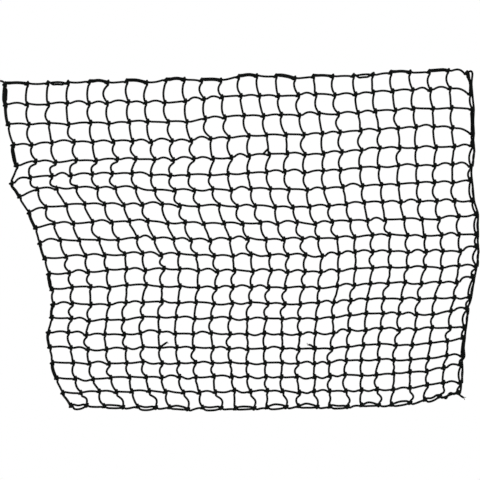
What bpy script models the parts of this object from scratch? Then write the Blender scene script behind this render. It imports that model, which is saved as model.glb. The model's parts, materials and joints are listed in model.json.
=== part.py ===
"""Tennis net panel: 24 by 20 square meshes of black 4.5 mm twine, knotted at every crossing.

The panel hangs from its head edge in the XZ plane, front towards -Y. The origin is the middle
knot of the head edge. Each course is one row of knots with the bars that hang from it. The panel
folds along four lines, which cut the bars between courses 3-4, 7-8, 11-12 and 15-16.
"""

import math
import random

import bmesh
import bpy
from mathutils import Vector

MM = 0.001

MESHES_ACROSS = 24
MESHES_DOWN = 20
MIDDLE_COLUMN = 12
TWINE_RIDGE = 2.5
RING_CORNERS = 4
KNOT_HALF_SIZE = 4.2
KNOT_HALF_DEPTH = 4.8
MESH_CLEARANCE = 0.4
FOLD_CLEARANCE = 1.6

# The hung panel's outline: (column or row, X, Z) in millimetres from the middle head knot.
HEAD_EDGE = (
    (0, -526, -18), (4, -338, -14), (8, -167, -11), (12, 0, 0), (16, 167, 1), (20, 342, 11), (24, 510, 5),
)
FOOT_EDGE = (
    (0, -378, -742), (4, -228, -745), (8, -82, -747), (12, 67, -744), (16, 208, -741), (20, 347, -733),
    (24, 497, -712),
)
LEFT_EDGE = (
    (0, -526, -18), (2, -518, -108), (4, -501, -201), (5, -509, -239), (7, -472, -306), (10, -435, -412),
    (13, -416, -511), (15, -427, -576), (18, -411, -681), (20, -378, -742),
)
RIGHT_EDGE = (
    (0, 510, 5), (4, 525, -153), (8, 531, -308), (12, 525, -452), (14, 512, -520), (16, 505, -588),
    (20, 494, -712),
)
# Where the netting is drawn aside: (course, column, reach in courses, in columns, X, Z) in millimetres.
# A selvedge is moved only by pulls centred on it.
PULLS = (
    (3, 13, 1.6, 6, 7, 0),
    (6, 3, 1.3, 4.5, -11, 10),
    (10, 14, 1.6, 8, 14, 0),
    (16.5, 10, 2.2, 8, 9, 2),
    (8, 4, 4.5, 5, 0, 8),
    (14, 14, 2.0, 4, 0, -7),
    (12, 22, 5, 3, 0, -8),
    (6, 20, 3, 6, 0, -4),
    (2, 4.5, 1.3, 4.5, -7, -6),
    (3.5, 10, 1.4, 2.5, 0, -5),
    (8.3, 5.5, 1.1, 4, -6, -2),
    (6, 22, 1.3, 1.8, -5, 0),
    (7.5, 13, 2, 2.5, 0, -4),
    (10.5, 6, 2, 2.5, 0, 5),
    (13.3, 5, 1, 4.5, -4.5, 0),
    (14.2, 2.5, 1.4, 1.6, 0, -9),
    (13.5, 18.2, 3.5, 1.6, 0, 8),
    (15, 17.5, 0.7, 5, 6.5, 0),
    (18.3, 8, 1.4, 3.5, 0, 6),
    (1, 24, 0.6, 0.8, 7, 5),
    (3.3, 24, 1.3, 0.8, 2, -4),
    (5.8, 24, 1.0, 0.8, -11, 0),
    (10.5, 24, 1.5, 1.0, 3, -2),
    (0, 10.7, 0.5, 0.45, 0, -6),
    (0, 15, 0.5, 0.7, 0, -6),
    (0, 18.4, 1.0, 0.9, 0, -9),
    (0, 23, 0.6, 0.6, 0, 6),
    (1.5, 22.3, 1.8, 1.2, 0, 4),
    (20, 1, 0.5, 0.6, -7, 0),
    (20, 20.5, 0.5, 2.2, 0, -7),
)
CREASE_SEED = 11
CREASE = 2.4
FOOT_PAIR_SHIFT = 3.5
LAST_FOOT_PAIR_SHIFT = -5.0
SIDE_PAIR_SHIFT = 10.0

# How far a bar bows off its chord, level bars upwards and hanging bars to the left.
LEVEL_BOW_AT_HEAD = 4.3
LEVEL_BOW_AT_FOOT = 1.0
HEAD_PAIR_BOW = 2.8
HEAD_SINGLE_BOW = 0.8
FOOT_PAIR_BOW = 2.6
FOOT_SINGLE_BOW = -1.0
HANGING_BOW = 6.0
HANGING_BOW_LOST_DOWN = 1.9
HANGING_BOW_LOST_ACROSS = 2.1
LEFT_SELVEDGE_BOW = 1.5

# Second strands of the doubled selvedge bars: how far they stand off, and how far their middles bow out.
LOOP_END_IN = 1.5
LOOP_END_OFF = 8.0
HEAD_LOOP_BOW = 2.0
FOOT_LOOP_BOW = -1.0
LEFT_STRAND_OFF = 7.2
LACING_OFF_KNOT = 8.2
LACING_OFF_BAR = 9.0

# Loose twine ends: (course, column) of their knot, then offsets from it.
TAILS = {
    "start_tail": ((0, 0), ((-4.2, 6.9), (-8.0, 7.8), (-12.0, 8.4))),
    "end_tail": ((20, 24), ((4.9, -6.6), (8.8, -9.2), (13.0, -10.8))),
    "join_tail_1": ((16, 6), ((6.9, 6.9), (10.8, 9.6), (15.0, 12.6))),
    "join_tail_2": ((16, 15), ((-7.4, 7.4), (-10.8, 9.3), (-14.4, 10.4))),
}

# Each fold line's Z at X = -500 and X = +500, and the first course below it.
FOLD_REACH = 500.0
FOLD_LINES = {4: (-168, -141), 8: (-318, -298), 12: (-465, -441), 16: (-602, -579)}
UP = Vector((0, 1))
DOWN = Vector((0, -1))
LEFT = Vector((-1, 0))
DOUBLE_LEFT_BARS = {1} | set(range(2, MESHES_DOWN + 1, 2))


def along(stations, at):
    """The smooth curve through (station, x, z) points, read at any station."""
    last = len(stations) - 1
    i = next(k for k in range(last) if at <= stations[k + 1][0] or k == last - 1)

    def slope(k, axis):
        before, after = stations[max(k - 1, 0)], stations[min(k + 1, last)]
        return (after[axis] - before[axis]) / (after[0] - before[0])

    width = stations[i + 1][0] - stations[i][0]
    t = (at - stations[i][0]) / width
    return Vector([
        (2 * t**3 - 3 * t**2 + 1) * stations[i][axis]
        + (t**3 - 2 * t**2 + t) * width * slope(i, axis)
        + (3 * t**2 - 2 * t**3) * stations[i + 1][axis]
        + (t**3 - t**2) * width * slope(i + 1, axis)
        for axis in (1, 2)
    ])


def knot_grid():
    """Every knot's (x, z) in millimetres: the outline blended inwards, then slightly creased."""
    crease = random.Random(CREASE_SEED)
    head_left, head_right = along(HEAD_EDGE, 0), along(HEAD_EDGE, MESHES_ACROSS)
    foot_left, foot_right = along(FOOT_EDGE, 0), along(FOOT_EDGE, MESHES_ACROSS)
    grid = {}
    for row in range(MESHES_DOWN + 1):
        for column in range(MESHES_ACROSS + 1):
            u, v = column / MESHES_ACROSS, row / MESHES_DOWN
            place = (
                (1 - v) * along(HEAD_EDGE, column)
                + v * along(FOOT_EDGE, column)
                + (1 - u) * along(LEFT_EDGE, row)
                + u * along(RIGHT_EDGE, row)
                - (1 - v) * ((1 - u) * head_left + u * head_right)
                - v * ((1 - u) * foot_left + u * foot_right)
            )
            for course, centre, courses, columns, x, z in PULLS:
                away = ((row - course) / courses) ** 2 + ((column - centre) / columns) ** 2
                moves_column = 0 < column < MESHES_ACROSS or centre == MESHES_ACROSS
                moves_row = 0 < row < MESHES_DOWN or row == course
                place += Vector((x, z)) * math.exp(-away / 2) * (moves_column and moves_row)
            place += Vector((crease.uniform(-CREASE, CREASE), crease.uniform(-CREASE, CREASE)))
            if row == MESHES_DOWN and column % 2:
                place.x += FOOT_PAIR_SHIFT if column < MESHES_ACROSS - 1 else LAST_FOOT_PAIR_SHIFT
            if column == MESHES_ACROSS and row % 2:
                place.y -= SIDE_PAIR_SHIFT
            grid[row, column] = place
    origin = grid[0, MIDDLE_COLUMN].copy()
    return {key: place - origin for key, place in grid.items()}


def fold_z(course, x):
    left, right = FOLD_LINES[course]
    return left + (right - left) * (x + FOLD_REACH) / (2 * FOLD_REACH)


class Twine:
    """One closed solid of four-sided knots and bars. A ring is its front, left, back and right ridges."""

    def __init__(self):
        self.mesh = bmesh.new()

    def vertex(self, flat, depth):
        return self.mesh.verts.new(Vector((flat.x, depth, flat.y)) * MM)

    def ring(self, centre, direction):
        side = Vector((-direction.y, direction.x)).normalized() * TWINE_RIDGE
        return (
            self.vertex(centre, -TWINE_RIDGE),
            self.vertex(centre + side, 0),
            self.vertex(centre, TWINE_RIDGE),
            self.vertex(centre - side, 0),
        )

    def bridge(self, start, end):
        for i in range(RING_CORNERS):
            j = (i + 1) % RING_CORNERS
            self.mesh.faces.new((start[i], start[j], end[j], end[i]))

    def run(self, start_ring, start, path, last_direction=None):
        """Bars on from a ring at start, through each point of the path, closed at the last one."""
        points = [start, *path]
        ring = start_ring
        for i in range(1, len(points)):
            direction = points[min(i + 1, len(path))] - points[i - 1]
            if i == len(path) and last_direction:
                direction = last_direction
            end = self.ring(points[i], direction)
            self.bridge(ring, end)
            ring = end
        self.mesh.faces.new(ring)

    def strand(self, path):
        """A strand of its own, closed at both ends."""
        first = self.ring(path[0], path[1] - path[0])
        self.mesh.faces.new(first)
        self.run(first, path[0], path[1:])

    def knot(self, centre):
        """A knot's four ports, each the ring that a bar leaves it by, in the bar's own direction."""
        front = self.vertex(centre, -KNOT_HALF_DEPTH)
        back = self.vertex(centre, KNOT_HALF_DEPTH)
        corner = {}
        for x in (-1, 1):
            for z in (-1, 1):
                corner[x, z] = self.vertex(centre + Vector((x, z)) * KNOT_HALF_SIZE, 0)
        return {
            "right": (front, corner[1, 1], back, corner[1, -1]),
            "left": (front, corner[-1, -1], back, corner[-1, 1]),
            "down": (front, corner[1, -1], back, corner[-1, -1]),
            "up": (front, corner[-1, 1], back, corner[1, 1]),
        }

    def node(self, name, material):
        bmesh.ops.recalc_face_normals(self.mesh, faces=self.mesh.faces)
        if self.mesh.calc_volume(signed=True) < 0:
            bmesh.ops.reverse_faces(self.mesh, faces=self.mesh.faces)
        data = bpy.data.meshes.new(name)
        self.mesh.to_mesh(data)
        self.mesh.free()
        data.materials.append(material)
        bpy.context.scene.collection.objects.link(bpy.data.objects.new(name, data))


def level_middle(grid, row, column):
    """The middle of the level bar on from a knot."""
    bow = LEVEL_BOW_AT_HEAD + (LEVEL_BOW_AT_FOOT - LEVEL_BOW_AT_HEAD) * row / MESHES_DOWN
    if row == 0:
        bow = HEAD_SINGLE_BOW if column % 2 else HEAD_PAIR_BOW
    if row == MESHES_DOWN:
        bow = FOOT_SINGLE_BOW if column % 2 else FOOT_PAIR_BOW
    return (grid[row, column] + grid[row, column + 1]) / 2 + UP * bow


def hanging_middle(grid, row, column):
    """The middle of the hanging bar above a knot."""
    bow = HANGING_BOW - HANGING_BOW_LOST_DOWN * row / MESHES_DOWN
    bow -= HANGING_BOW_LOST_ACROSS * column / MESHES_ACROSS
    if column == 0:
        bow = LEFT_SELVEDGE_BOW
    return (grid[row - 1, column] + grid[row, column]) / 2 + LEFT * bow


def cut_at_fold(path, course, above):
    """The part of a falling path on one side of a fold line, read downwards above it and upwards below."""
    clearance = FOLD_CLEARANCE if above else -FOLD_CLEARANCE
    kept = []
    for start, end in zip(path, path[1:]):
        over_start = start.y - fold_z(course, start.x) - clearance
        over_end = end.y - fold_z(course, end.x) - clearance
        if above and over_start > 0 or not above and over_start < 0:
            kept.append(start)
        if over_start > 0 >= over_end:
            kept.append(start + (end - start) * over_start / (over_start - over_end))
    if above:
        return kept
    return [*kept, path[-1]][::-1]


def hanging_path(grid, row, column):
    """A hanging bar's path, from its upper knot to just above its lower one."""
    start, end = grid[row - 1, column], grid[row, column]
    clear = KNOT_HALF_SIZE + MESH_CLEARANCE
    return [start, hanging_middle(grid, row, column), end + Vector((0, clear))]


def left_strand_path(grid, row):
    """The second strand of a doubled bar down the left selvedge."""
    start, end = grid[row - 1, 0], grid[row, 0]
    middle = hanging_middle(grid, row, 0) + LEFT * (2 * TWINE_RIDGE + MESH_CLEARANCE)
    return [start, middle, end + Vector((-LEFT_STRAND_OFF, KNOT_HALF_SIZE))]


def build_course(grid, row, material):
    """A row of knots, the level bars between them and what hangs from them or stands up to a fold line."""
    twine = Twine()
    knots = [twine.knot(grid[row, column]) for column in range(MESHES_ACROSS + 1)]
    for column, ports in enumerate(knots):
        here = grid[row, column]
        if column < MESHES_ACROSS:
            middle = twine.ring(level_middle(grid, row, column), grid[row, column + 1] - here)
            twine.bridge(ports["right"], middle)
            front, lower, back, upper = knots[column + 1]["left"]
            twine.bridge(middle, (front, upper, back, lower))
        else:
            twine.mesh.faces.new(ports["right"])
        if row in FOLD_LINES:
            stub = cut_at_fold([*hanging_path(grid, row, column)[:2], here], row, False)
            twine.run(ports["up"], here, stub[1:], UP)
        else:
            twine.mesh.faces.new(ports["up"])
        if row == MESHES_DOWN:
            twine.mesh.faces.new(ports["down"])
            continue
        path = hanging_path(grid, row + 1, column)
        if row + 1 in FOLD_LINES:
            path = cut_at_fold(path, row + 1, True)
        twine.run(ports["down"], here, path[1:], DOWN)
    build_left_strand(twine, grid, row, knots[0]["left"])
    twine.node(f"course_{row:02d}", material)


def build_left_strand(twine, grid, row, port):
    """The left port's strand: down to the next knot or fold line, or up to the fold line above."""
    here = grid[row, 0]
    if row + 1 in DOUBLE_LEFT_BARS:
        path = left_strand_path(grid, row + 1)
        if row + 1 in FOLD_LINES:
            path = cut_at_fold(path, row + 1, True)
        twine.run(port, here, path[1:], DOWN)
    elif row in FOLD_LINES:
        start, middle, _ = left_strand_path(grid, row)
        path = cut_at_fold([start, middle, here], row, False)
        twine.run(port, here, path[1:], UP)
    else:
        twine.mesh.faces.new(port)


def build_edge_loops(grid, row, name, side, bow, material):
    """The second strands of every other bar along the head or the foot, one node each."""
    for number, column in enumerate(range(1, MESHES_ACROSS, 2), start=1):
        start, end = grid[row, column - 1], grid[row, column]
        inwards = (end - start).normalized()
        outwards = Vector((-inwards.y, inwards.x)) * side
        first = start + inwards * LOOP_END_IN + outwards * LOOP_END_OFF
        last = end - inwards * LOOP_END_IN + outwards * LOOP_END_OFF
        twine = Twine()
        twine.strand([first, (first + last) / 2 + outwards * bow, last])
        twine.node(f"{name}_{number:02d}", material)


def build_side_lacing(grid, material):
    """The twine laced down the right selvedge, one length for each band between fold lines."""
    path = []
    for row in range(MESHES_DOWN + 1):
        knot = grid[row, MESHES_ACROSS]
        path.append(knot + Vector((LACING_OFF_KNOT, 0)))
        if row < MESHES_DOWN:
            below = grid[row + 1, MESHES_ACROSS]
            path.append((knot + below) / 2 + Vector((LACING_OFF_BAR, 0)))
    starts = [None, *FOLD_LINES]
    ends = [*FOLD_LINES, None]
    for number, (start, end) in enumerate(zip(starts, ends), start=1):
        length = path
        if start is not None:
            length = cut_at_fold(length, start, False)[::-1]
        if end is not None:
            length = cut_at_fold(length, end, True)
        twine = Twine()
        twine.strand(length)
        twine.node(f"side_lacing_{number}", material)


def build_tails(grid, material):
    for name, (place, offsets) in TAILS.items():
        twine = Twine()
        twine.strand([grid[place] + Vector(offset) for offset in offsets])
        twine.node(name, material)


def twine_material():
    material = bpy.data.materials.new("black_twine")
    material.use_nodes = True
    shader = material.node_tree.nodes["Principled BSDF"]
    shader.inputs["Base Color"].default_value = (0.012, 0.014, 0.013, 1)
    shader.inputs["Roughness"].default_value = 0.5
    shader.inputs["Metallic"].default_value = 0.0
    return material


def main():
    for old in list(bpy.data.objects):
        bpy.data.objects.remove(old)
    grid = knot_grid()
    material = twine_material()
    for row in range(MESHES_DOWN + 1):
        build_course(grid, row, material)
    build_edge_loops(grid, 0, "head_loop", 1, HEAD_LOOP_BOW, material)
    build_edge_loops(grid, MESHES_DOWN, "foot_loop", -1, FOOT_LOOP_BOW, material)
    build_side_lacing(grid, material)
    build_tails(grid, material)


main()
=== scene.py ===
"""Tennis net panel: the looks. Every course of knots and bars, selvedge strand and loose end is laid
as round braided twine, worked in true sheet bends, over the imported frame."""

import json
import math
import random

import bpy
import numpy as np
from mathutils import Euler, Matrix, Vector


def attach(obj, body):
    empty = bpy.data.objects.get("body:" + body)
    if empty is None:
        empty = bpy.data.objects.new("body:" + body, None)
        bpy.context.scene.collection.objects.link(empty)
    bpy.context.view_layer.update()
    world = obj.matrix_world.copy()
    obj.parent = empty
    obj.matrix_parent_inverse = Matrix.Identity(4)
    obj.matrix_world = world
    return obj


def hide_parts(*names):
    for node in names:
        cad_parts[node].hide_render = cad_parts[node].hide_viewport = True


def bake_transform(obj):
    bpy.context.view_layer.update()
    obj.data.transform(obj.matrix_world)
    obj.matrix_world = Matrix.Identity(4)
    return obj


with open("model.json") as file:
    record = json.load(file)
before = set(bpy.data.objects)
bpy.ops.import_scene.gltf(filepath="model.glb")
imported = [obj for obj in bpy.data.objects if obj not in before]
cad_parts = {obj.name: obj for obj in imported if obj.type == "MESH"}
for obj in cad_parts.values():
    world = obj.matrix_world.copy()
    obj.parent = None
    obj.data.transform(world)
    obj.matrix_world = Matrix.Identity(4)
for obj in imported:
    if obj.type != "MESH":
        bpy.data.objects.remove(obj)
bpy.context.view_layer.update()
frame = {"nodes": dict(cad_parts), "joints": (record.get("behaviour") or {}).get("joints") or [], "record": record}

BODIES = frame["record"]["behaviour"]["bodies"]
FOLDS = sorted(frame["joints"], key=lambda joint: joint["name"])

# Driving dimensions, in metres: the twine's nominal thickness, and its radius as it is drawn, from
# which its plaits stand in and out by a share.
MM = 0.001
TWINE = 0.0045
RADIUS = 0.0025
# Each strand is a tube of so many sides, with its rings a pitch apart.
SIDES = 8
RING_PITCH = 0.0015
EASING_PASSES = 3
BRAID_RELIEF = 0.06
BRAID_PITCH = 0.003
# Knots down and across.
ROWS = 21
COLUMNS = 25
LAST = COLUMNS - 1
FOOT = ROWS - 1
PAIRS = COLUMNS // 2
# Points this close in depth are level with the foremost one.
SAME_DEPTH = 0.0001

RIGHT = Vector((1, 0, 0))
UP = Vector((0, 0, 1))
FRONT = Vector((0, -1, 0))
# A direction that no strand starts along.
ASKEW = (0.31, 0.86, 0.41)

# A knot against its twine, how far each one is turned and tilted, and how far it follows its bars.
KNOT_SCALE = 0.70
KNOT_DEPTH = 0.62
KNOT_TURN = 0.17
KNOT_TILT = 0.10
KNOT_SIZES = (0.94, 1.06)
KNOT_FOLLOWS = 0.4
KNOT_STEPS = 5
FOOT_TURNS = (-0.3, 0.6)
# Where the bight is taken over from the bar above it, in steps along the bight.
BIGHT_FROM = 3
BAR_INTO_BIGHT = 6

# How far a bar bows off its chord, level bars upwards and hanging bars to the left.
LEVEL_BOW_AT_HEAD = 0.0043
LEVEL_BOW_AT_FOOT = 0.0010
HANGING_BOW = 0.0060
HANGING_BOW_LOST_DOWN = 0.0019
HANGING_BOW_LOST_ACROSS = 0.0021
BOW_SPREAD = 0.0022
HEAD_PAIR_BOW = 0.0028
HEAD_SINGLE_BOW = 0.0008
LAST_HEAD_BOW = 0.0070
FOOT_SINGLE_BOW = -0.0012
FOOT_SWING = -0.0060
FOOT_SWING_SKEW = 0.5
FOOT_PAIR_SKEW = 0.5
LEFT_SELVEDGE_BOW = 0.0015
# The right selvedge's bars give way to the lacing by a share of its gap, less a little.
GIVES_WAY = 0.6
HOLDS_BACK = 0.0010

# A bar is a Bezier curve. Its handles reach a share of its length in from each end and never stand
# steeper than STEEPEST, and it rises to three quarters of their height.
BAR_STEPS = 16
HANDLE_SHARE = 0.36
CURVE_RISE = 0.75
STEEPEST = 1.3
SKEW_SPREAD = 0.25
STRAY = 0.0018

# Second strands beside the selvedge bars: how far off to the side and to the front or back.
HUG_SIDE = 0.0028
HUG_DEPTH = 0.0040
HUG_SIDE_SPREAD = (0.7, 1.3)
HEAD_SIDE_SPREAD = (0.7, 1.0)
CORNER_SIDE = 0.0040
# They come off the bar's ends after a few steps, and reach their full offset sooner as HUG_FADE grows.
HUG_FROM = 3
HUG_FADE = 1.8
HEAD_STEPS = 2
DOUBLE_LEFT_BARS = {1} | set(range(2, ROWS, 2))
# Along the head most lie close over the first strand. These few stand off it, or below it, by so
# many times HUG_SIDE.
HEAD_GAPS = {3: -2.0, 11: 1.4, 15: 1.6, 19: -2.4}
HEAD_LEAD = Vector((0.0012, 0, 0.0022))

# How far each doubled foot bar's strands part from their chord: the upper one up, the lower one down.
FOOT_LENSES = (
    (0.0010, 0.0070), (0.0042, 0.0025), (0.0010, 0.0055), (0.0062, 0.0015), (0.0020, 0.0050),
    (0.0048, 0.0015), (0.0070, 0.0035), (0.0070, 0.0020), (0.0025, 0.0035), (0.0070, 0.0010),
    (0.0056, 0.0030), (0.0010, 0.0060),
)
# The lower strand's way: (share of the bar's length, share of the strand's drop).
FOOT_DROPS = ((0.16, 0.8), (0.42, 1.1), (0.72, 0.8), (0.92, 0.3))
FOOT_START_DROP = 0.0010
# The strand twisted round the last foot bar.
FOOT_TWISTS = 1.5
TWIST_FADE = 2.5

# How far the lacing stands off each bar of the right selvedge, from the head down.
LACING_GAPS = (
    0.0030, 0.0075, 0.0035, 0.0026, 0.0105, 0.0075, 0.0090, 0.0074, 0.0084, 0.0068,
    0.0120, 0.0085, 0.0078, 0.0076, 0.0105, 0.0074, 0.0035, 0.0045, 0.0088, 0.0066,
)
# The lacing's first turn over the corner knot, and its way past the others.
LACING_START = ((0.0040, -0.0050, 0.0040), (0.0085, -0.0020, 0.0058), (0.0125, 0.0, 0.0010))
LACING_ON_KNOT = 0.0034
LACING_DEPTH = 0.0056
LACED_BEHIND = (5, 11, 14, 19)
LACING_STEPS = 10
# A doubled selvedge bar's second strand lies just inside the lacing.
INSIDE_LACING = 0.95

# A strand pulled out beside one knot, in steps up the bar above it and along the level bar beside it.
SNAG = (4, 13)
SNAG_UP = 4
SNAG_ALONG = 5

# The courses whose hanging bars cross a fold, and the width of a zone about each fold's line.
FOLDED_COURSES = (3, 7, 11, 15)
FOLD_ZONE = 0.011
PAST_FOLD = 0.002

# Each loose end's knot, and its way from there in millimetres.
TAILS = {
    "start_tail": ((0, 0), ((-1, 0, 2), (-4.2, 0, 5.9), (-8, 0, 7.8), (-12, 0, 8.4))),
    "end_tail": ((FOOT, LAST), ((1, 0, -2), (4.9, 0, -5), (8.8, 0, -8), (13, 0, -10.4))),
    "join_tail_1": ((16, 6), ((2, 0, 2), (6.9, 0, 6.9), (10.8, 0, 9.6), (15, 0, 12.6))),
    "join_tail_2": ((16, 15), ((-2, 0, 3), (-7.4, 0, 7.4), (-10.8, 0, 9.3), (-14.4, 0, 10.4))),
}
TAIL_TAPER = 0.8
CURVE_STEPS = 6
FILAMENTS = 9
FILAMENT_RADIUS = 0.00042
FILAMENT_TAPER = 0.4
FILAMENT_STEPS = 4
FILAMENT_LENGTHS = (0.0022, 0.0042)
FILAMENT_LEAN = 0.75
FILAMENT_ROOT = 0.002
FILAMENT_ROOT_SPREAD = 0.0012
FILAMENT_CURL = 0.5
FILAMENT_DROOP = (-0.6, 0.2)
FILAMENT_TIP_SHARE = 0.7

# The sheet bend, in twine diameters: (down-right, up-right, towards the front).
BIGHT = (
    (-1.75, 0.85, -0.05), (-0.50, 0.85, 0.00), (-0.10, 0.85, 0.00), (0.55, 0.55, 0.10),
    (1.05, 0.00, 0.15), (0.55, -0.55, 0.10), (-0.10, -0.85, 0.00), (-0.50, -0.85, 0.00),
    (-1.60, -1.00, -0.05),
)
WORKING = (
    (1.05, -1.55, -0.10), (1.20, -0.85, -0.50), (0.95, -0.20, -0.85), (0.20, 0.00, -0.10),
    (-0.10, 0.15, 0.95), (-0.45, 0.75, 1.75), (-0.85, 1.50, 1.00), (-1.00, 1.85, 0.10),
    (-1.05, 1.00, -0.90), (-1.05, -0.90, -0.90), (-1.20, -1.60, 0.10), (-1.05, -0.85, 0.95),
    (-0.80, 0.00, 1.05), (-0.35, 0.75, 0.90), (0.45, 1.40, 0.45), (1.15, 1.65, 0.00),
)

# The twine's finish: dull black and faintly green, lighter in worn patches, and lighter on the crests of its
# plaits as a painted highlight.
ROUGHNESS = 0.6
SPECULAR_LEVEL = 0.05
PLAITS_AROUND = 4
GRAIN_SCALE = 900
GRAIN_DETAIL = 3
GRAIN_SHARE = 0.6
RELIEF_STRENGTH = 0.55
RELIEF_DEPTH = 0.0004
WEAR_SCALE = 14
WEAR_DETAIL = 4
# How far the painted highlight on the plaits' crests lightens the colour.
PLAIT_HIGHLIGHT_SHARE = 0.3
DARK = (0.25, (0.0018, 0.0024, 0.0021, 1))
# The ramp's light end, reached in worn patches and on the painted highlight of the plaits.
WORN_AND_HIGHLIGHT = (0.95, (0.0060, 0.0078, 0.0068, 1))

# The studio. Each light: (place, what it aims at, size, power).
LIGHTS = {
    "key": ((-1.6, -2.4, 1.1), (0, 0, -0.35), 1.6, 45),
    "fill": ((2.2, -1.8, 0.2), (0, 0, -0.4), 2.0, 18),
    "back": ((0.6, 2.2, 0.9), (0, 0, -0.4), 1.8, 25),
}
WHITE = (1, 1, 1, 1)
ROOM_LIGHT = 0.55
BACKDROP = 1.0
FLOOR_CORNERS = ((-2, -2, 0), (2, -2, 0), (2, 1.6, 0), (-2, 1.6, 0))
FLOOR_HEIGHT = -1.36
FLOOR_FADE = (0.5, 1.5)
FLOOR_COLOUR = (0.82, 0.82, 0.81, 1)
FLOOR_ROUGHNESS = 0.8
CAMERA_LENS = 85
CAMERA_PLACE = (0.0032, -2.55, -0.366)

dice = random.Random(4)


def course_name(row):
    """The frame's node for a row of knots, counted from the head."""
    return f"course_{row:02d}"


def body_of(node):
    """The band that a node moves with."""
    return next(body for body, nodes in BODIES.items() if node in nodes)


def knot_places():
    """Each knot's place: a course's front ridge stands furthest forward at its knots."""
    places = {}
    for row in range(ROWS):
        mesh = frame["nodes"][course_name(row)].data
        points = np.array([v.co for v in mesh.vertices])
        tops = points[points[:, 1] < points[:, 1].min() + SAME_DEPTH]
        tops = np.unique(np.round(tops, 5), axis=0)
        for column, top in enumerate(tops[np.argsort(tops[:, 0])]):
            places[row, column] = Vector((top[0], 0, top[2]))
    if len(places) != ROWS * COLUMNS:
        raise ValueError(f"{len(places)} knots found, not {ROWS * COLUMNS}")
    return places


def through(points, steps):
    """A smooth curve through the points, steps to each stretch."""
    points = [Vector(p) for p in points]
    ends = [2 * points[0] - points[1], *points, 2 * points[-1] - points[-2]]
    curve = []
    for a, b, c, d in zip(ends, ends[1:], ends[2:], ends[3:]):
        for step in range(steps):
            t = step / steps
            squared = 2 * a - 5 * b + 4 * c - d
            cubed = 3 * b - a - 3 * c + d
            curve.append(0.5 * ((2 * b) + (c - a) * t + squared * t**2 + cubed * t**3))
    return [*curve, points[-1]]


def template(points):
    """A strand of the knot as a dense path in metres about the knot's centre."""
    wide = TWINE * KNOT_SCALE / math.sqrt(2)
    deep = TWINE * KNOT_DEPTH
    placed = [((p + q) * wide, -n * deep, (q - p) * wide) for p, q, n in points]
    return through(placed, KNOT_STEPS)


BIGHT_PATH = template(BIGHT)
WORKING_PATH = template(WORKING)


class Knot:
    """A knot's two strands where they lie: the bight from its up port to its left one, and the
    working strand from its down port to its right one. Outer ports are cut back to the knot, and
    the lead is the way the bar from above runs into the bight."""

    def __init__(self, places, row, column):
        centre = places[row, column]
        across = places.get((row, column + 1), centre) - places.get((row, column - 1), centre)
        upward = places.get((row - 1, column), centre) - places.get((row + 1, column), centre)
        turned = (math.atan2(upward.x, upward.z) - math.atan2(across.z, across.x)) * KNOT_FOLLOWS
        if row == FOOT:
            turned = FOOT_TURNS[column % 2]
        turn = Euler((
            dice.uniform(-KNOT_TILT, KNOT_TILT),
            turned + dice.uniform(-KNOT_TURN, KNOT_TURN),
            dice.uniform(-KNOT_TILT, KNOT_TILT),
        )).to_matrix() * dice.uniform(*KNOT_SIZES)
        self.centre = centre
        self.bight = [centre + turn @ p for p in BIGHT_PATH]
        self.working = [centre + turn @ p for p in WORKING_PATH]
        if row == 0:
            self.bight = self.bight[KNOT_STEPS:]
        if column == 0:
            self.bight = self.bight[:-KNOT_STEPS]
        if row == FOOT:
            self.working = self.working[2 * KNOT_STEPS:]
        if column == LAST:
            self.working = self.working[:-KNOT_STEPS]
        self.up, self.left = self.bight[0], self.bight[-1]
        self.down, self.right = self.working[0], self.working[-1]
        self.lead = self.bight[BAR_INTO_BIGHT:0:-1]
        if row > 0:
            self.bight = self.bight[BIGHT_FROM:]


def bezier(start, first, second, end):
    """A bar's path between its ends, drawn by its two handles."""
    path = []
    for step in range(BAR_STEPS + 1):
        t = step / BAR_STEPS
        s = 1 - t
        path.append(s**3 * start + 3 * s * s * t * first + 3 * s * t * t * second + t**3 * end)
    return path


def sprung_bar(start, end, knots, side, bow, skew=0.0):
    """A bar between two ports, bowed to one side off its knots' chord."""
    reach = (end - start).normalized()
    side = (side - reach * side.dot(reach)).normalized()
    already = ((start + end) / 2 - (knots[0] + knots[1]) / 2).dot(side)
    span = (end - start).length * HANDLE_SHARE
    lift = max(-span * STEEPEST, min((bow - already) / CURVE_RISE, span * STEEPEST))
    skew += dice.uniform(-SKEW_SPREAD, SKEW_SPREAD)
    stray = FRONT * dice.uniform(-STRAY, STRAY)
    first = start + reach * span + side * lift * (1 + skew) + stray
    second = end - reach * span + side * lift * (1 - skew) + stray * dice.uniform(-1, 1)
    return bezier(start, first, second, end)


def spread_bow():
    """A random addition to a bar's bow, never more than twice its spread."""
    return max(-2 * BOW_SPREAD, min(dice.gauss(0, BOW_SPREAD), 2 * BOW_SPREAD))


def level_bow(row, column):
    """How far up a level bar bows, by where it is in the panel."""
    if row == 0 and column == LAST - 1:
        return LAST_HEAD_BOW
    if row == 0:
        return (HEAD_SINGLE_BOW if column % 2 else HEAD_PAIR_BOW) + dice.gauss(0, BOW_SPREAD / 3)
    if row == FOOT and column % 2:
        return FOOT_SINGLE_BOW + dice.gauss(0, BOW_SPREAD / 2)
    if row == FOOT:
        return FOOT_LENSES[column // 2][0]
    bow = LEVEL_BOW_AT_HEAD + (LEVEL_BOW_AT_FOOT - LEVEL_BOW_AT_HEAD) * row / FOOT
    return bow + spread_bow()


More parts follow.
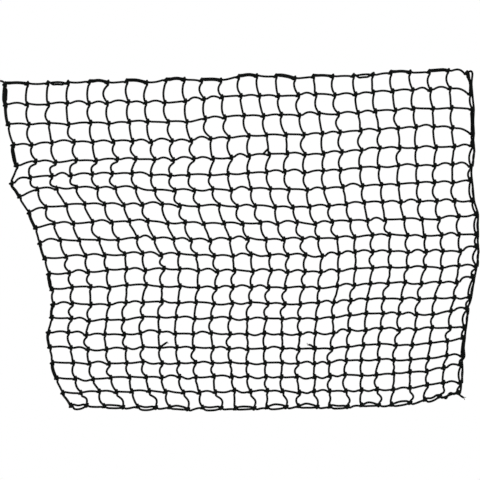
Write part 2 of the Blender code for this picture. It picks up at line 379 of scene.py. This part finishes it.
def hanging_bow(row, column):
    """How far to the left a hanging bar bows, by where it is in the panel."""
    if row == FOOT and column % 2:
        return FOOT_SWING + dice.gauss(0, BOW_SPREAD / 2)
    if column == 0:
        return LEFT_SELVEDGE_BOW + dice.gauss(0, BOW_SPREAD / 3)
    if row == 1 and column == LAST:
        return -LACING_GAPS[0]
    if column == LAST:
        return LACING_GAPS[row - 1] * GIVES_WAY - HOLDS_BACK + dice.gauss(0, BOW_SPREAD / 3)
    bow = HANGING_BOW - HANGING_BOW_LOST_DOWN * row / FOOT - HANGING_BOW_LOST_ACROSS * column / LAST
    return bow + spread_bow()


def level_bar(knots, row, column):
    """The level bar from a knot to the next one on its right."""
    start, end = knots[row, column], knots[row, column + 1]
    bow = level_bow(row, column)
    skew = FOOT_PAIR_SKEW if row == FOOT and column % 2 == 0 else 0.0
    return sprung_bar(start.right, end.left, (start.centre, end.centre), UP, bow, skew)


def hanging_bar(knots, row, column):
    """The hanging bar above a knot, upwards."""
    start, end = knots[row, column], knots[row - 1, column]
    skew = FOOT_SWING_SKEW if row == FOOT and column % 2 else 0.0
    bow = hanging_bow(row, column)
    return sprung_bar(start.up, end.down, (start.centre, end.centre), -RIGHT, bow, skew)


class Net:
    """Every knot, and the path of every bar between two of them."""

    def __init__(self, places):
        self.knots = {key: Knot(places, *key) for key in places}
        self.level = {}
        self.hanging = {}
        for row, column in places:
            if column < LAST:
                self.level[row, column] = level_bar(self.knots, row, column)
            if row > 0:
                self.hanging[row, column] = hanging_bar(self.knots, row, column)


def beside(bar, start, end, side, depth):
    """A strand from port to port that hugs a bar, offset to the side and in depth."""
    last = len(bar) - 1
    hugging = []
    for i in range(HUG_FROM, last - HUG_FROM + 1):
        fade = min(1.0, HUG_FADE * math.sin(math.pi * i / last))
        hugging.append(bar[i] + (side + FRONT * depth) * fade)
    return [start, *hugging, end]


def wound(bar, turns, radius):
    """A strand twisted round a bar."""
    last = len(bar) - 1
    path = []
    for i, point in enumerate(bar):
        angle = 2 * math.pi * turns * i / last
        off = radius * min(1.0, TWIST_FADE * math.sin(math.pi * i / last))
        path.append(point + (UP * math.cos(angle) + FRONT * math.sin(angle)) * off)
    return path


def lengths_along(points):
    """The length of the path up to each of its points."""
    return np.concatenate([[0], np.cumsum(np.linalg.norm(np.diff(points, axis=0), axis=1))])


def spaced(points, pitch):
    """The path with its points a pitch apart."""
    reach = lengths_along(points)
    count = max(3, round(reach[-1] / pitch) + 1)
    at = np.linspace(0, reach[-1], count)
    return np.stack([np.interp(at, reach, points[:, k]) for k in range(3)], axis=1)


def eased(path, passes):
    """The path evenly spaced, with its corners eased."""
    points = np.array([tuple(p) for p in path])
    steps = np.linalg.norm(np.diff(points, axis=0), axis=1)
    keep = np.concatenate([[True], steps > 1e-6])
    points = points[keep]
    for _ in range(passes):
        points = spaced(points, RING_PITCH)
        points[1:-1] = points[1:-1] / 2 + (points[:-2] + points[2:]) / 4
    return points


def ring_axes(points):
    """Two directions square to the path at each point, carried along it without twisting."""
    ahead = np.gradient(points, axis=0)
    ahead /= np.linalg.norm(ahead, axis=1)[:, None]
    side = np.cross(ahead[0], ASKEW)
    sides = []
    for direction in ahead:
        side = side - direction * side.dot(direction)
        side /= np.linalg.norm(side)
        sides.append(side)
    sides = np.array(sides)
    return sides, np.cross(ahead, sides)


class Twine:
    """One piece's twine: tubes of braided strands in one mesh."""

    def __init__(self):
        self.points, self.faces, self.uv = [], [], []
        self.count = 0

    def lay(self, path, radius=RADIUS, taper=1.0, passes=EASING_PASSES):
        """A strand along the path, its last ring narrowed by taper."""
        points = eased(path, passes)
        sides, other = ring_axes(points)
        rings = len(points)
        angle = np.arange(SIDES) * 2 * math.pi / SIDES
        lump = 1 + BRAID_RELIEF * (-1.0) ** (np.arange(rings)[:, None] + np.arange(SIDES)[None, :])
        size = radius * lump
        size[-1] *= taper
        across, back = np.cos(angle)[None, :, None], np.sin(angle)[None, :, None]
        around = across * sides[:, None] + back * other[:, None]
        self.points.append((points[:, None] + size[..., None] * around).reshape(-1, 3))

        i, j = np.meshgrid(np.arange(rings - 1), np.arange(SIDES), indexing="ij")
        i, j = i.ravel(), j.ravel()
        k = (j + 1) % SIDES
        low, high = self.count + i * SIDES, self.count + (i + 1) * SIDES
        self.faces += np.stack([low + j, high + j, high + k, low + k], axis=1)[:, ::-1].tolist()
        v = lengths_along(points) / BRAID_PITCH
        u0, u1 = j / SIDES, (j + 1) / SIDES
        corner = np.stack([u0, v[i], u0, v[i + 1], u1, v[i + 1], u1, v[i]], axis=1).reshape(-1, 4, 2)
        self.uv.append(corner[:, ::-1].reshape(-1, 2))
        for ring, step in ((0, -1), (rings - 1, 1)):
            self.faces.append([self.count + ring * SIDES + n for n in range(SIDES)][::step])
            self.uv.append(np.zeros((SIDES, 2)))
        self.count += rings * SIDES

    def fray(self, tip, direction):
        """The loosened filaments of a cut end."""
        for _ in range(FILAMENTS):
            lean = Vector([dice.uniform(-FILAMENT_LEAN, FILAMENT_LEAN) for _ in range(3)])
            reach = dice.uniform(*FILAMENT_LENGTHS)
            root = tip - direction * FILAMENT_ROOT + lean * FILAMENT_ROOT_SPREAD
            bend = root + (direction + lean * FILAMENT_CURL) * reach
            way = direction * FILAMENT_CURL + lean + UP * dice.uniform(*FILAMENT_DROOP)
            end = bend + way * reach * FILAMENT_TIP_SHARE
            path = through((root, bend, end), FILAMENT_STEPS)
            self.lay(path, radius=FILAMENT_RADIUS, taper=FILAMENT_TAPER, passes=1)

    def piece(self, name, node, material):
        """The twine laid so far as one piece, which stands for a node of the frame."""
        mesh = bpy.data.meshes.new(name)
        mesh.from_pydata(np.concatenate(self.points).tolist(), [], self.faces)
        layer = mesh.uv_layers.new(name="twine")
        layer.data.foreach_set("uv", np.concatenate(self.uv).ravel())
        mesh.polygons.foreach_set("use_smooth", [True] * len(mesh.polygons))
        mesh.materials.append(material)
        obj = bpy.data.objects.new(name, mesh)
        bpy.context.scene.collection.objects.link(obj)
        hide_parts(node)
        return obj


def lay_left_selvedge(net, row, twine):
    """A course's end knot at the left selvedge, and the second strand of the bar below it."""
    knot = net.knots[row, 0]
    path = list(knot.bight)
    if row + 1 in DOUBLE_LEFT_BARS:
        bar = net.hanging[row + 1, 0][::-1]
        side = CORNER_SIDE if row == 0 else dice.uniform(*HUG_SIDE_SPREAD) * HUG_SIDE
        depth = dice.choice((-1, 1)) * HUG_DEPTH
        path += beside(bar, knot.left, net.knots[row + 1, 0].left, -RIGHT * side, depth)
    twine.lay(path)
    if row == 0:
        bar = net.hanging[1, 0][::-1]
        twine.lay(beside(bar, knot.down, net.knots[1, 0].up, RIGHT * CORNER_SIDE, 0.0))


def lay_course(net, row, twine):
    """A course's knots and level bars, and the bars that hang from it."""
    for column in range(COLUMNS):
        knot = net.knots[row, column]
        path = []
        if row < FOOT:
            path += net.knots[row + 1, column].lead + net.hanging[row + 1, column]
        path += knot.working
        if column < LAST:
            path += net.level[row, column]
            path += net.knots[row, column + 1].bight[::-1]
        elif row < FOOT and row % 2 == 0:
            bar = net.hanging[row + 1, LAST][::-1]
            side = RIGHT * LACING_GAPS[row] * INSIDE_LACING
            path += beside(bar, knot.right, net.knots[row + 1, LAST].right, side, -HUG_DEPTH)
        twine.lay(path)
    lay_left_selvedge(net, row, twine)
    if row == FOOT:
        twine.lay(wound(net.level[FOOT, LAST - 1], FOOT_TWISTS, TWINE))
    if row == SNAG[0]:
        start = net.hanging[SNAG][SNAG_UP]
        end = net.level[row, SNAG[1] - 1][-SNAG_ALONG]
        twine.lay(through((start, (start + end) / 2 + FRONT * HUG_DEPTH, end), CURVE_STEPS))


def lay_head_strand(net, column, twine):
    """The second strand of a doubled bar along the head."""
    start, end = net.knots[0, column - 1], net.knots[0, column]
    bar = net.level[0, column - 1]
    side = HEAD_GAPS.get(column, dice.uniform(*HEAD_SIDE_SPREAD)) * HUG_SIDE
    depth = dice.choice((-1, 1)) * HUG_DEPTH
    path = beside(bar, start.up + HEAD_LEAD, end.up, UP * side, depth)
    twine.lay([start.up, *through(path, HEAD_STEPS)])


def lay_foot_strand(net, column, twine):
    """The second strand of a doubled bar along the foot, sagging below the first."""
    start, end = net.knots[FOOT, column - 1], net.knots[FOOT, column]
    reach = end.centre - start.centre
    sag = -UP * FOOT_LENSES[column // 2][1]
    way = [start.centre + reach * along + sag * drop for along, drop in FOOT_DROPS]
    way[0] -= UP * FOOT_START_DROP
    way[1] += FRONT * dice.uniform(-STRAY, STRAY)
    twine.lay(through((start.down, *way, end.down), CURVE_STEPS))


def fold_ends(joint):
    """The two ends of a zone about a fold's line, across it."""
    centre, axis = Vector(joint["pos_m"]), Vector(joint["axis"])
    across = Vector((-axis.z, 0, axis.x)).normalized() * FOLD_ZONE / 2
    return centre + across, centre - across


def place(piece, node, fold=None):
    """A piece rides its node's band; a piece over a fold only has its transform applied, and rides no band."""
    if fold is None:
        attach(piece, body_of(node))
        return
    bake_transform(piece)


def lacing_path(net):
    """The line laced down the right selvedge: over its knots, and behind a few of them."""
    corner = net.knots[0, LAST].centre
    points = [corner + Vector(off) for off in LACING_START]
    for row in range(1, ROWS):
        bar = net.hanging[row, LAST]
        gap = LACING_GAPS[row - 1]
        forward = math.sqrt(max(0.0, TWINE ** 2 - gap ** 2))
        points.append(bar[len(bar) // 2] + RIGHT * gap + FRONT * forward)
        depth = -LACING_DEPTH if row in LACED_BEHIND else LACING_DEPTH
        points.append(net.knots[row, LAST].centre + RIGHT * LACING_ON_KNOT + FRONT * depth)
    return through(points, LACING_STEPS)


def lay_lacing(net, material):
    """The lacing in one length for each band, each but the last reaching over the fold below it."""
    path = lacing_path(net)
    cuts = []
    for joint in FOLDS:
        above, below = fold_ends(joint)
        normal = (above - below).normalized()
        cuts.append(next(i for i, p in enumerate(path) if (p - below).dot(normal) < -PAST_FOLD))
    for number, (first, last) in enumerate(zip([0, *cuts], [*cuts, len(path) - 1]), start=1):
        twine = Twine()
        twine.lay(path[first:last + 1])
        piece = twine.piece(f"edge_lacing_{number}", f"side_lacing_{number}", material)
        place(piece, f"side_lacing_{number}", number - 1 if number <= len(FOLDS) else None)


def lay_tail(name, knot, offsets, material):
    """A loose end from its knot to its frayed tip."""
    path = through([knot.centre + Vector((x, y, z)) * MM for x, y, z in offsets], CURVE_STEPS)
    twine = Twine()
    twine.lay(path, taper=TAIL_TAPER)
    twine.fray(path[-1], (path[-1] - path[-4]).normalized())
    place(twine.piece(name, name, material), name)


def constant(node, **values):
    """Values on a node's own sockets, each named with _ for a space."""
    for name, value in values.items():
        node.inputs[name.replace("_", " ")].default_value = value


def twine_material():
    """Braided black polyethylene: dull, slightly greenish, with a fine plaited relief and a painted highlight on
    its plaits.
    """
    material = bpy.data.materials.new("braided_twine")
    material.use_nodes = True
    nodes, links = material.node_tree.nodes, material.node_tree.links
    shader = nodes["Principled BSDF"]
    constant(shader, Roughness=ROUGHNESS, Metallic=0.0, Specular_IOR_Level=SPECULAR_LEVEL)

    uv = nodes.new("ShaderNodeUVMap")
    uv.uv_map = "twine"
    split = nodes.new("ShaderNodeSeparateXYZ")
    links.new(uv.outputs[0], split.inputs[0])

    def math_node(operation, *values):
        node = nodes.new("ShaderNodeMath")
        node.operation = operation
        for socket, value in zip(node.inputs, values):
            if isinstance(value, (int, float)):
                socket.default_value = value
            else:
                links.new(value, socket)
        return node.outputs[0]

    around = math_node("MULTIPLY", split.outputs[0], PLAITS_AROUND * 2 * math.pi)
    along = math_node("MULTIPLY", split.outputs[1], 2 * math.pi)
    rising = math_node("SINE", math_node("ADD", around, along))
    falling = math_node("SINE", math_node("SUBTRACT", around, along))
    plait = math_node("MAXIMUM", rising, falling)

    place_in = nodes.new("ShaderNodeTexCoord")
    grain = nodes.new("ShaderNodeTexNoise")
    constant(grain, Scale=GRAIN_SCALE, Detail=GRAIN_DETAIL)
    links.new(place_in.outputs["Object"], grain.inputs["Vector"])
    bump = nodes.new("ShaderNodeBump")
    constant(bump, Strength=RELIEF_STRENGTH, Distance=RELIEF_DEPTH)
    height = math_node("ADD", plait, math_node("MULTIPLY", grain.outputs[0], GRAIN_SHARE))
    links.new(height, bump.inputs["Height"])
    links.new(bump.outputs[0], shader.inputs["Normal"])

    wear = nodes.new("ShaderNodeTexNoise")
    constant(wear, Scale=WEAR_SCALE, Detail=WEAR_DETAIL)
    links.new(place_in.outputs["Object"], wear.inputs["Vector"])
    # The colour: random worn patches, plus a painted highlight on the crests of the plaits.
    wear_and_highlight = math_node("ADD", math_node("MULTIPLY", plait, PLAIT_HIGHLIGHT_SHARE), wear.outputs[0])
    ramp = nodes.new("ShaderNodeValToRGB")
    for stop, (position, colour) in zip(ramp.color_ramp.elements, (DARK, WORN_AND_HIGHLIGHT)):
        stop.position = position
        stop.color = colour
    links.new(wear_and_highlight, ramp.inputs[0])
    links.new(ramp.outputs[0], shader.inputs["Base Color"])
    return material


def fade_out(tree):
    """The floor's colour dissolved towards its rim, so that no edge of it shows."""
    nodes, links = tree.nodes, tree.links
    place_in = nodes.new("ShaderNodeTexCoord")
    distance = nodes.new("ShaderNodeVectorMath")
    distance.operation = "LENGTH"
    falloff = nodes.new("ShaderNodeMapRange")
    constant(falloff, From_Min=FLOOR_FADE[0], From_Max=FLOOR_FADE[1])
    clear = nodes.new("ShaderNodeBsdfTransparent")
    mix = nodes.new("ShaderNodeMixShader")
    links.new(place_in.outputs["Object"], distance.inputs[0])
    links.new(distance.outputs["Value"], falloff.inputs["Value"])
    links.new(falloff.outputs["Result"], mix.inputs[0])
    links.new(nodes["Principled BSDF"].outputs[0], mix.inputs[1])
    links.new(clear.outputs[0], mix.inputs[2])
    links.new(mix.outputs[0], nodes["Material Output"].inputs["Surface"])


def build_world(scene):
    """Soft white light from all round, and a white backdrop where nothing else is seen."""
    world = bpy.data.worlds.new("studio")
    world.use_nodes = True
    scene.world = world
    nodes, links = world.node_tree.nodes, world.node_tree.links
    soft = nodes["Background"]
    constant(soft, Color=WHITE, Strength=ROOM_LIGHT)
    seen = nodes.new("ShaderNodeBackground")
    constant(seen, Color=WHITE, Strength=BACKDROP)
    path = nodes.new("ShaderNodeLightPath")
    mix = nodes.new("ShaderNodeMixShader")
    links.new(path.outputs["Is Camera Ray"], mix.inputs[0])
    links.new(soft.outputs[0], mix.inputs[1])
    links.new(seen.outputs[0], mix.inputs[2])
    links.new(mix.outputs[0], nodes["World Output"].inputs["Surface"])


def build_floor(scene):
    """A pale floor under the panel, which fades out all round."""
    mesh = bpy.data.meshes.new("floor")
    mesh.from_pydata(FLOOR_CORNERS, [], [(0, 1, 2, 3)])
    paint = bpy.data.materials.new("pale_floor")
    paint.use_nodes = True
    constant(paint.node_tree.nodes["Principled BSDF"], Base_Color=FLOOR_COLOUR, Roughness=FLOOR_ROUGHNESS)
    fade_out(paint.node_tree)
    mesh.materials.append(paint)
    plane = bpy.data.objects.new("floor", mesh)
    plane.location = (0, 0, FLOOR_HEIGHT)
    scene.collection.objects.link(plane)


def area_light(scene, name, place_at, aim, size, power):
    """A square soft light, turned towards what it aims at."""
    data = bpy.data.lights.new(name, "AREA")
    data.energy = power
    data.size = size
    light = bpy.data.objects.new(name, data)
    light.location = place_at
    light.rotation_euler = (Vector(aim) - Vector(place_at)).to_track_quat("-Z", "Y").to_euler()
    scene.collection.objects.link(light)


def build_studio():
    """The light, the floor, and a camera square to the panel."""
    scene = bpy.context.scene
    scene.view_settings.view_transform = "Standard"
    build_world(scene)
    for name, light in LIGHTS.items():
        area_light(scene, name, *light)
    build_floor(scene)
    lens = bpy.data.cameras.new("camera")
    lens.lens = CAMERA_LENS
    camera = bpy.data.objects.new("camera", lens)
    camera.location = CAMERA_PLACE
    camera.rotation_euler = (math.pi / 2, 0, 0)
    scene.collection.objects.link(camera)
    scene.camera = camera


def build_net():
    """Every piece of the panel, laid in the order that its random draws are made."""
    material = twine_material()
    net = Net(knot_places())
    for row in range(ROWS):
        twine = Twine()
        lay_course(net, row, twine)
        piece = twine.piece(f"netting_{course_name(row)}", course_name(row), material)
        fold = FOLDED_COURSES.index(row) if row in FOLDED_COURSES else None
        place(piece, course_name(row), fold)
    for number in range(1, PAIRS + 1):
        for edge, lay in (("head", lay_head_strand), ("foot", lay_foot_strand)):
            twine = Twine()
            lay(net, 2 * number - 1, twine)
            node = f"{edge}_loop_{number:02d}"
            place(twine.piece(f"{edge}_strand_{number:02d}", node, material), node)
    lay_lacing(net, material)
    for name, (knot, offsets) in TAILS.items():
        lay_tail(name, net.knots[knot], offsets, material)


build_net()
build_studio()
